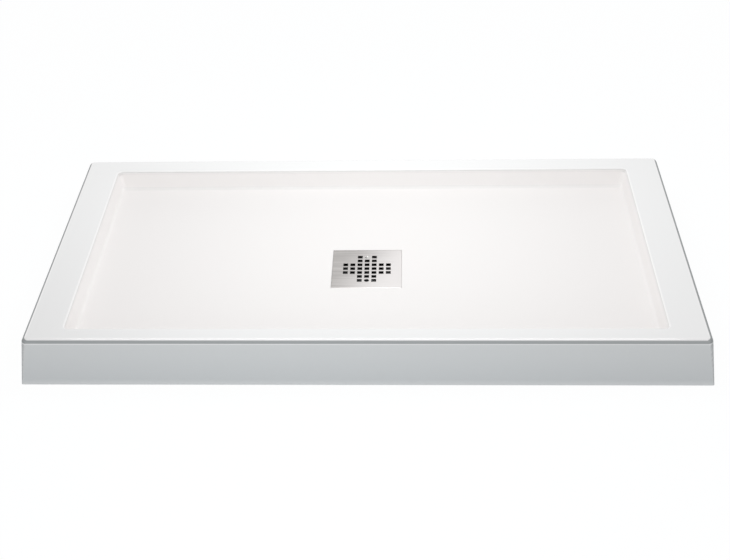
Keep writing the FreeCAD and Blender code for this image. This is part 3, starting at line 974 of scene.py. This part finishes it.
@dataclass
class SubAssembly:
    """A group of pieces of the tray that are dressed together."""

    frame: dict

    def dress(self, node: str, finish: Finish) -> bpy.types.Object:
        """Give a CAD node its finish, with soft shading over rolls and crisp edges.

        Args:
            node: name of the CAD node.
            finish: the finish that it gets.

        Returns:
            The node's object.
        """
        piece = self.frame["nodes"][node]
        piece.data.materials.clear()
        piece.data.materials.append(finish.material())
        for polygon in piece.data.polygons:
            polygon.material_index = 0
        self.soften(piece)
        log.info("dressed %s in %s", node, finish.name)
        return piece

    def soften(self, piece: bpy.types.Object) -> None:
        """Join the faces' shading over rounds and keep it apart at edges.

        Args:
            piece: the object that is shaded.
        """
        weld = piece.modifiers.new("joined_faces", "WELD")
        weld.merge_threshold = WELD_DISTANCE
        split = piece.modifiers.new("crisp_edges", "EDGE_SPLIT")
        split.split_angle = CRISP_ANGLE
        even = piece.modifiers.new("even_shading", "WEIGHTED_NORMAL")
        even.mode = "FACE_AREA"
        even.weight = 100

    def ease(self, piece: bpy.types.Object, width: float) -> None:
        """Take the sharpness off a piece's edges before its shading is evened.

        Args:
            piece: the object, already dressed.
            width: width of the eased edges, in mm.
        """
        plain = piece.modifiers.new("plain_faces", "DECIMATE")
        plain.decimate_type = "DISSOLVE"
        plain.angle_limit = FLAT_ANGLE
        bevel = piece.modifiers.new("eased_edges", "BEVEL")
        bevel.width = width * MM
        bevel.segments = 2
        bevel.limit_method = "ANGLE"
        bevel.angle_limit = EASED_ANGLE
        after_weld = 1
        for modifier in (bevel, plain):
            piece.modifiers.move(piece.modifiers.find(modifier.name), after_weld)

    def axis(self, node: str) -> tuple[float, float]:
        """Middle of a CAD node, seen from above, in metres."""
        low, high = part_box(node)
        return (low[0] + high[0]) / 2, (low[1] + high[1]) / 2

    def place(
        self, name: str, mesh: bpy.types.Mesh, finish: Finish, node: str, body: str,
        at: tuple[float, float] = (0.0, 0.0),
    ) -> None:
        """Put a new piece in the place of a CAD node.

        Args:
            name: name of the new object.
            mesh: its mesh.
            finish: its finish; not used.
            node: CAD node that it stands for.
            body: moving body that it rides.
            at: where the mesh's own axis stands, in metres.
        """
        piece = bpy.data.objects.new(name, mesh)
        bpy.context.scene.collection.objects.link(piece)
        piece.location = (*at, 0.0)
        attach(piece, body)
        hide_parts(node)
        self.soften(piece)
        log.info("placed %s on %s", name, body)

    def build(self) -> None:
        """Build and dress the pieces of this sub-assembly."""
        raise NotImplementedError


@dataclass
class Skin(SubAssembly):
    """The formed acrylic skin and the laminate behind it."""

    def build(self) -> None:
        """Dress the skin and its backing."""
        self.dress("acrylic_shell", FormedAcrylic())
        self.dress("glass_fibre_backing", SprayedLaminate())


@dataclass
class Underframe(SubAssembly):
    """Filler, board and rails that carry the skin."""

    def build(self) -> None:
        """Dress the filler, the board and the four rails."""
        self.dress("floor_bedding", CastFiller())
        self.dress("base_board", BirchPlywood())
        for node in ("front_rail", "back_rail"):
            self.dress(node, PlanedPine(grain=Grain.ALONG_X))
        for node in ("left_rail", "right_rail"):
            self.dress(node, PlanedPine(grain=Grain.ALONG_Y))


@dataclass
class DrainCover(SubAssembly):
    """Pierced cover plate and its two raised countersunk screws, sizes in mm."""

    eased: float = 0.4
    top: float = 47.6
    head_radius: float = 5.3
    head_edge: float = 0.15
    shank_radius: float = 2.95
    shank_end: float = 38.1
    shank_point: float = 0.3
    dome: float = 1.1
    dome_rows: int = 8
    cross_reach: float = 2.8
    cross_half_width: float = 0.557
    cross_depth: float = 1.25
    pitch: float = 0.8
    thread_depth: float = 0.42

    def dome_row(self, share: float) -> Outline:
        """Row on the domed head.

        Args:
            share: how far it is on the way from the dome's rim to the mouth of the cross.

        Returns:
            The outline of the row.
        """
        ball = (self.head_radius ** 2 + self.dome ** 2) / (2 * self.dome)
        mouth = cross(self.cross_reach, self.cross_half_width, 0.0)

        def outline(angle: float) -> tuple[float, float]:
            """Radius and height at an angle, on the ball that the dome is part of."""
            radius = self.head_radius + share * (mouth(angle)[0] - self.head_radius)
            drop = ball - math.sqrt(ball ** 2 - radius ** 2)
            return radius, self.top + self.dome - drop
        return outline

    def screw(self) -> TurnedForm:
        """Turn one screw: thread, cone, domed head and tapered cross.

        Returns:
            The screw's form about its axis, at its height in the tray.
        """
        form = TurnedForm("cover_screw")
        neck = self.top - (self.head_radius - self.shank_radius)
        cut = Thread(self.shank_radius, self.thread_depth, self.pitch, self.shank_end, neck)
        point = cut.root - self.shank_point
        form.add(circle(point, cut.foot))
        for height in cut.heights()[1:-1]:
            form.add(cut.row(height, point + (height - cut.foot)))
        floor = self.top + self.dome - self.cross_depth
        form.add(
            circle(self.shank_radius, neck),
            circle(self.head_radius - self.head_edge, self.top - self.head_edge),
            circle(self.head_radius, self.top),
            *(self.dome_row(row / self.dome_rows) for row in range(1, self.dome_rows + 1)),
            cross(self.cross_reach * 0.72, self.cross_half_width * 0.8, floor + 0.2),
            cross(self.cross_reach * 0.45, self.cross_half_width * 0.6, floor),
        )
        return form

    def build(self) -> None:
        """Dress the plate, ease its edges, and place the screws."""
        self.ease(self.dress("drain_cover", BrushedStainless()), self.eased)
        # The front screw is the polished screw coloured near black: painted shade.
        finishes = {"front": PaintedShadeStainless(), "back": PolishedStainless()}
        for side, finish in finishes.items():
            node = f"cover_screw_{side}"
            self.place(
                f"threaded_screw_{side}", self.screw().mesh(finish), finish, node,
                f"screw_{side}", self.axis(node),
            )


@dataclass
class Waste(SubAssembly):
    """Waste body with its threaded barrel, nuts, seals and washers, sizes in mm."""

    flange_radius: float = 57.0
    flange_foot: float = 37.1
    flange_top: float = 40.1
    flange_chamfer: float = 1.2
    barrel_radius: float = 42.0
    barrel_foot: float = 5.0
    throat_radius: float = 38.0
    lip_radius: float = 31.5
    lip_top: float = 8.0
    thread_top: float = 28.6
    pitch: float = 3.0
    thread_depth: float = 1.1
    rows_per_turn: int = 10
    boss_radius: float = 4.8
    boss_foot: float = 38.1
    boss_top: float = 45.1
    boss_offset: float = 46.5
    hole_radius: float = 3.1
    hole_floor: float = 38.1
    eased: float = 0.4
    nut_eased: float = 0.5

    def barrel(self) -> TurnedForm:
        """Turn flange, threaded barrel and throat as one ring.

        Returns:
            The form about the waste's axis, without its screw bosses.
        """
        form = TurnedForm("waste_body", is_ring=True, columns=144)
        cut = Thread(
            self.barrel_radius, self.thread_depth, self.pitch, self.barrel_foot,
            self.thread_top, self.rows_per_turn,
        )
        end = cut.root - self.eased
        form.add(circle(end, cut.foot))
        for height in cut.heights()[1:]:
            turns_in = (cut.top - height) / cut.pitch
            form.add(cut.row(height, end + (height - cut.foot), turns_in))
        form.add(
            circle(self.barrel_radius, self.flange_foot),
            circle(self.flange_radius - self.eased, self.flange_foot),
            circle(self.flange_radius, self.flange_foot + self.eased),
            circle(self.flange_radius, self.flange_top - self.flange_chamfer),
            circle(self.flange_radius - self.flange_chamfer, self.flange_top),
            circle(self.throat_radius + self.eased, self.flange_top),
            circle(self.throat_radius, self.flange_top - self.eased),
            circle(self.throat_radius, self.lip_top),
            circle(self.lip_radius + self.eased, self.lip_top),
            circle(self.lip_radius, self.lip_top - self.eased),
            circle(self.lip_radius, self.barrel_foot + self.eased),
            circle(self.lip_radius + self.eased, self.barrel_foot),
        )
        return form

    def drilled(self, blank: bpy.types.Mesh) -> bpy.types.Mesh:
        """Join the two screw bosses to the waste body and drill them.

        Args:
            blank: mesh of the body without bosses.

        Returns:
            The finished mesh.
        """
        post = TurnedForm("boss", columns=48)
        post.add(
            circle(self.boss_radius, self.boss_foot),
            circle(self.boss_radius, self.boss_top - self.eased),
            circle(self.boss_radius - self.eased, self.boss_top),
        )
        hole = TurnedForm("hole", columns=48)
        hole.add(
            circle(self.hole_radius, self.hole_floor),
            circle(self.hole_radius, self.boss_top - self.eased),
            circle(self.hole_radius + 2 * self.eased, self.boss_top + self.eased),
        )
        body = bpy.data.objects.new("waste_blank", blank)
        tools: list[bpy.types.Object] = []
        for form, operation in ((post, "UNION"), (hole, "DIFFERENCE")):
            for side in (-1, 1):
                tool = bpy.data.objects.new(form.name, form.mesh(BLACK_ABS))
                tool.location.y = side * self.boss_offset * MM
                tools.append(tool)
                step = body.modifiers.new(form.name, "BOOLEAN")
                step.operation = operation
                step.solver = "EXACT"
                step.object = tool
        for item in (body, *tools):
            bpy.context.scene.collection.objects.link(item)
        graph = bpy.context.evaluated_depsgraph_get()
        made = bpy.data.meshes.new_from_object(body.evaluated_get(graph))
        for item in (body, *tools):
            bpy.data.objects.remove(item)
        return made

    def build(self) -> None:
        """Place the threaded body, and dress the nuts, the rubber and the washer."""
        body = self.drilled(self.barrel().mesh(BLACK_ABS))
        self.place(
            "threaded_waste", body, BLACK_ABS, "drain_body", "tray", self.axis("drain_body")
        )
        for node in ("drain_lock_nut", "compression_nut"):
            self.ease(self.dress(node, BLACK_ABS), self.nut_eased)
        for node in ("flange_seal", "sealing_washer", "pipe_gasket"):
            self.dress(node, SEAL_RUBBER)
        self.dress("friction_washer", PressedFibre())


@dataclass
class LevellingFeet(SubAssembly):
    """Six feet: pad, threaded stem and socket each, with lock nuts and wood screws, in mm."""

    places: tuple[str, ...] = tuple(
        f"{row}_{place}" for row in ("front", "back") for place in ("left", "middle", "right")
    )
    finish: Finish = ZincPlate()
    stem_radius: float = 5.0
    stem_foot: float = 3.0
    stem_top: float = 38.0
    stem_chamfer: float = 0.6
    pitch: float = 1.5
    thread_depth: float = 0.85
    thread_start: float = 14.0
    collar_flats: float = 13.0
    collar_foot: float = 9.3
    collar_top: float = 13.3
    nut_flats: float = 17.0
    nut_foot: float = 14.0
    nut_top: float = 19.0
    nut_bore: float = 5.05
    nut_sink: float = 0.6
    corner_turning: float = 30.0
    turned_share: float = 0.96
    screw_radius: float = 1.75
    screw_head: float = 3.4
    screw_head_edge: float = 0.15
    screw_tip: float = 0.4
    screw_foot: float = 27.0
    screw_top: float = 37.0
    screw_pitch: float = 1.5
    screw_depth: float = 0.4
    screw_rows_per_turn: int = 6
    screw_circle: float = 16.5
    screws_per_socket: int = 3
    screw_cross: float = 1.9
    screw_cross_depth: float = 1.2
    screw_arm: float = 15.0

    def stem(self) -> TurnedForm:
        """Turn one stem: plain foot, chamfered hexagonal collar and rolled thread.

        Returns:
            The stem's form about its axis, at its height in the tray.
        """
        form = TurnedForm("threaded_stem")
        cut = Thread(
            self.stem_radius, self.thread_depth, self.pitch, self.thread_start, self.stem_top
        )
        form.add(
            circle(self.stem_radius - self.stem_chamfer, self.stem_foot),
            circle(self.stem_radius, self.stem_foot + self.stem_chamfer),
            circle(self.stem_radius, self.collar_foot),
            *self.hexagon_rows(self.collar_flats, self.collar_foot, self.collar_top),
            circle(cut.root, self.collar_top),
        )
        for height in cut.heights():
            from_end = min(height - cut.foot, cut.top - height)
            form.add(cut.row(height, cut.root + from_end))
        return form

    def hexagon_rows(self, flats: float, foot: float, top: float) -> list[Outline]:
        """Rows of a hexagonal prism whose corners are turned off at both ends.

        Args:
            flats: size across flats.
            foot: height of its lower face.
            top: height of its upper face.

        Returns:
            Outlines from the lower face to the upper.
        """
        slope = math.tan(math.radians(self.corner_turning))
        face = flats / 2 * self.turned_share
        depth = (flats / math.sqrt(3) - face) * slope
        levels = [depth * step / 4 for step in range(5)]
        return [
            circle(face, foot),
            *(hexagon(flats, foot + level, face + level / slope) for level in levels),
            *(hexagon(flats, top - level, face + level / slope) for level in reversed(levels)),
            circle(face, top),
        ]

    def nut(self) -> TurnedForm:
        """Turn one thin lock nut with a countersunk bore.

        Returns:
            The nut's form about its axis, at its height in the tray.
        """
        form = TurnedForm("lock_nut", is_ring=True)
        form.add(
            *self.hexagon_rows(self.nut_flats, self.nut_foot, self.nut_top),
            circle(self.nut_bore + self.nut_sink, self.nut_top),
            circle(self.nut_bore, self.nut_top - self.nut_sink),
            circle(self.nut_bore, self.nut_foot + self.nut_sink),
            circle(self.nut_bore + self.nut_sink, self.nut_foot),
        )
        return form

    def wood_screw(self) -> TurnedForm:
        """Turn one countersunk wood screw, head down, with a cross and a coarse thread.

        Returns:
            The screw's form about its axis, at its height in the tray.
        """
        form = TurnedForm("wood_screw", columns=48)
        floor = self.screw_foot + self.screw_cross_depth
        arm = math.tan(math.radians(self.screw_arm))
        for share, height in ((0.45, floor), (0.75, floor - 0.3), (1.0, self.screw_foot)):
            reach = self.screw_cross * share
            form.add(cross(reach, reach * arm, height))
        form.add(
            circle(self.screw_head - self.screw_head_edge, self.screw_foot),
            circle(self.screw_head, self.screw_foot + self.screw_head_edge),
        )
        neck = self.screw_foot + self.screw_head - self.screw_radius
        cut = Thread(
            self.screw_radius, self.screw_depth, self.screw_pitch, neck, self.screw_top,
            self.screw_rows_per_turn,
        )
        for height in cut.heights():
            turns_in = (height - neck) / cut.pitch
            form.add(cut.row(height, self.screw_tip + (cut.top - height), turns_in))
        return form

    def together(
        self, name: str, form: TurnedForm, places: Iterable[tuple[float, float]], node: str
    ) -> None:
        """Place the same fastener several times as one object, in the place of a CAD node.

        Args:
            name: name of the new object.
            form: one fastener.
            places: where each stands, in metres.
            node: CAD node that they stand for.
        """
        single = form.mesh(self.finish)
        joined = bmesh.new()
        for x, y in places:
            copy = single.copy()
            copy.transform(Matrix.Translation((x, y, 0)))
            joined.from_mesh(copy)
            bpy.data.meshes.remove(copy)
        mesh = bpy.data.meshes.new(name)
        joined.to_mesh(mesh)
        joined.free()
        mesh.materials.append(self.finish.material())
        self.place(name, mesh, self.finish, node, "tray")

    def build(self) -> None:
        """Dress the six feet, and place their stems, lock nuts and wood screws."""
        stem = self.stem()
        feet: list[tuple[float, float]] = []
        for place in self.places:
            self.dress(f"leg_socket_{place}", self.finish)
            self.dress(f"foot_pad_{place}", PAD_PLASTIC)
            node = f"foot_stem_{place}"
            feet.append(self.axis(node))
            self.place(
                f"threaded_stem_{place}", stem.mesh(self.finish), self.finish, node,
                f"stem_{place}", feet[-1],
            )
        self.together("chamfered_lock_nuts", self.nut(), feet, "leg_lock_nuts")
        reach = self.screw_circle * MM
        count = self.screws_per_socket
        turns = [math.tau * (0.25 + number / count) for number in range(count)]
        round_each = [
            (x + reach * math.cos(turn), y + reach * math.sin(turn))
            for x, y in feet
            for turn in turns
        ]
        self.together("threaded_socket_screws", self.wood_screw(), round_each, "socket_screws")


# ---- Studio -----------------------------------------------------------------------------
@dataclass(frozen=True)
class SoftBox:
    """An area lamp, sizes in metres.

    Args:
        place: where it hangs.
        target: what it points at.
        size: its width and height.
        watts: its power.
        colour: its colour, as sRGB hex.
        only_in_gloss: whether it is only for reflections, or for all but reflections.
    """

    place: tuple[float, float, float]
    target: tuple[float, float, float]
    size: tuple[float, float]
    watts: float
    colour: str
    only_in_gloss: bool = False


LAMPS = {
    "overhead_box": SoftBox((0.02, 0.13, 0.95), (0.02, 0.13, 0.0), (0.5, 0.4), 2.8, "#FAFFFF"),
    "front_box": SoftBox((-0.1, -1.2, 0.35), (-0.05, 0.0, 0.05), (0.6, 0.3), 0.9, "#F8FBFD"),
    # Shines along the front edge.
    "edge_strip": SoftBox(
        (0.0, -0.35, 0.55), (0.0, -0.37, 0.1), (1.4, 0.2), 3.0, "#FFFFFF", only_in_gloss=True
    ),
}


@dataclass
class Studio:
    """Plain pale floor, soft light and the camera."""

    camera_mm: tuple[float, float, float] = (83.2, -2560.1, 1679.1)
    pitch: float = 33.323
    yaw: float = -3.687
    roll: float = -2.163
    focal_px: float = 1386.9
    principal_px: tuple[float, float] = (330.7, 282.3)
    sensor_mm: float = 36.0
    floor_size: float = 14.0
    floor_height: float = -0.0004
    floor_colour: str = "#BCC4C8"
    floor_share: float = 0.9
    floor_glow: float = 1.062
    shaded_half: tuple[float, float] = (0.66, 0.355)
    white: str = "#FFFFFF"
    fill_colour: str = "#FEFCFC"
    fill_strength: float = 0.71
    panel_glow: float = 0.35
    panel_foot: tuple[float, float] = (0.22, 0.36)
    panel_head: tuple[float, float] = (0.44, 0.56)
    panel_front: tuple[float, float] = (0.5, 0.8)
    flag_side: tuple[float, float] = (-0.34, -0.12)
    flag_foot: tuple[float, float] = (0.46, 0.58)

    def floor(self) -> None:
        """Lay a pale floor that the camera sees as white, with the tray's shadow on it.

        Under the tray, where the waste looks down on it, the floor has no glow.
        """
        mesh = bpy.data.meshes.new("floor")
        reach = self.floor_size / 2
        corners = [(-reach, -reach), (reach, -reach), (reach, reach), (-reach, reach)]
        mesh.from_pydata([(x, y, self.floor_height) for x, y in corners], [], [(0, 1, 2, 3)])
        floor = bpy.data.objects.new("floor", mesh)
        bpy.context.scene.collection.objects.link(floor)
        material = bpy.data.materials.new("pale_floor")
        material.use_nodes = True
        tree = material.node_tree
        tree.nodes.clear()
        place = add(tree, "SeparateXYZ", [add(tree, "TexCoord").outputs["Object"]]).outputs
        beyond = [
            add(
                tree, "Math", [add(tree, "Math", [place[axis]], operation="ABSOLUTE"), half],
                operation="GREATER_THAN",
            )
            for axis, half in zip("XY", self.shaded_half)
        ]
        open_ground = add(tree, "Math", beyond, operation="MAXIMUM")
        seen = [self.seen(tree, self.floor_share), open_ground]
        paint = add(tree, "BsdfDiffuse", {"Color": linear(self.floor_colour)})
        glow = add(tree, "Emission", [linear(self.white), self.floor_glow])
        share = add(tree, "Math", seen, operation="MULTIPLY")
        add(tree, "OutputMaterial", [add(tree, "MixShader", [share, paint, glow])])
        mesh.materials.append(material)

    def seen(self, tree: Tree, share: float) -> Node:
        """Tell the rays that show a thing from those that light others by it.

        Args:
            tree: the node tree of the floor or the world.
            share: what camera, glossy and transmission rays get, where the others get 0.

        Returns:
            The node that gives the share.
        """
        path = add(tree, "LightPath").outputs
        total: Node | Socket = path["Is Camera Ray"]
        for name in ("Is Glossy Ray", "Is Transmission Ray"):
            total = add(tree, "Math", [total, path[name]], operation="MAXIMUM")
        return add(tree, "Math", [total, share], operation="MULTIPLY")

    def world(self) -> None:
        """White background to the camera, and soft fill on the object.

        In its gloss a soft panel stands behind, and the left is shaded by a dark flag.
        """
        world = bpy.data.worlds.new("studio")
        bpy.context.scene.world = world
        world.use_nodes = True
        tree = world.node_tree
        tree.nodes.clear()
        aim = add(tree, "SeparateXYZ", [add(tree, "TexCoord").outputs["Generated"]]).outputs
        foot, head, front, side, flag_foot = (
            add(tree, "MapRange", [aim[axis], *old, *new], **SMOOTH)
            for axis, old, new in (
                ("Z", self.panel_foot, (0.0, self.panel_glow)),
                ("Z", self.panel_head, (1.0, 0.0)),
                ("Y", self.panel_front, (0.0, 1.0)),
                ("X", self.flag_side, (-1.0, 0.0)),
                ("Z", self.flag_foot, (0.0, 1.0)),
            )
        )
        panel = add(
            tree, "Math", [add(tree, "Math", [foot, head], operation="MULTIPLY"), front],
            operation="MULTIPLY",
        )
        flagged = add(tree, "Math", [side, flag_foot, panel], operation="MULTIPLY_ADD")
        glow = add(tree, "Math", [flagged, 1.0], operation="ADD")
        camera = add(tree, "LightPath").outputs["Is Camera Ray"]
        strength = add(tree, "Mix", {0: camera, 2: glow, 3: 1.0}, data_type="FLOAT")
        fill = add(tree, "Background", [linear(self.fill_colour), self.fill_strength])
        white = add(tree, "Background", [linear(self.white), strength])
        mix = add(tree, "MixShader", [self.seen(tree, 1.0), fill, white])
        add(tree, "OutputWorld", [mix])

    def lamp(self, name: str, box: SoftBox) -> None:
        """Hang a soft box.

        Args:
            name: name of the lamp.
            box: its place, size and light.
        """
        data = bpy.data.lights.new(name, "AREA")
        data.shape = "RECTANGLE"
        data.size, data.size_y = box.size
        data.energy = box.watts
        data.color = linear(box.colour)[:3]
        lamp = bpy.data.objects.new(name, data)
        bpy.context.scene.collection.objects.link(lamp)
        lamp.location = box.place
        aim = Vector(box.target) - Vector(box.place)
        lamp.rotation_euler = aim.to_track_quat("-Z", "Y").to_euler()
        lamp.visible_diffuse = not box.only_in_gloss
        lamp.visible_glossy = box.only_in_gloss
        lamp.visible_camera = False

    def camera(self) -> None:
        """Stand the camera where the picture was taken from."""
        data = bpy.data.cameras.new("camera")
        data.sensor_width = self.sensor_mm
        data.lens = self.focal_px / IMAGE_WIDTH * data.sensor_width
        data.shift_x = (IMAGE_WIDTH / 2 - self.principal_px[0]) / IMAGE_WIDTH
        data.shift_y = (self.principal_px[1] - IMAGE_HEIGHT / 2) / IMAGE_WIDTH
        data.clip_start, data.clip_end = 0.05, 50.0
        camera = bpy.data.objects.new("camera", data)
        bpy.context.scene.collection.objects.link(camera)
        pitch, yaw, roll = (math.radians(a) for a in (self.pitch, self.yaw, self.roll))
        ahead = Vector((
            math.sin(yaw) * math.cos(pitch), math.cos(yaw) * math.cos(pitch), -math.sin(pitch)
        ))
        right = Vector((math.cos(yaw), -math.sin(yaw), 0.0))
        up = right.cross(ahead)
        across = right * math.cos(roll) + up * math.sin(roll)
        above = up * math.cos(roll) - right * math.sin(roll)
        camera.matrix_world = Matrix((
            (across.x, above.x, -ahead.x, self.camera_mm[0] * MM),
            (across.y, above.y, -ahead.y, self.camera_mm[1] * MM),
            (across.z, above.z, -ahead.z, self.camera_mm[2] * MM),
            (0.0, 0.0, 0.0, 1.0),
        ))
        bpy.context.scene.camera = camera

    def build(self) -> None:
        """Set up the floor, the light and the camera."""
        self.floor()
        self.world()
        for name, box in LAMPS.items():
            self.lamp(name, box)
        self.camera()
        bpy.context.scene.view_settings.view_transform = "Standard"
        log.info("studio is ready")


def main() -> None:
    """Build the looks around the frame."""
    logging.basicConfig(level=logging.INFO, format="%(name)s: %(message)s")
    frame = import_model()
    for group in (Skin, Underframe, DrainCover, Waste, LevellingFeet):
        group(frame).build()
    Studio().build()


if __name__ == "__main__":
    main()
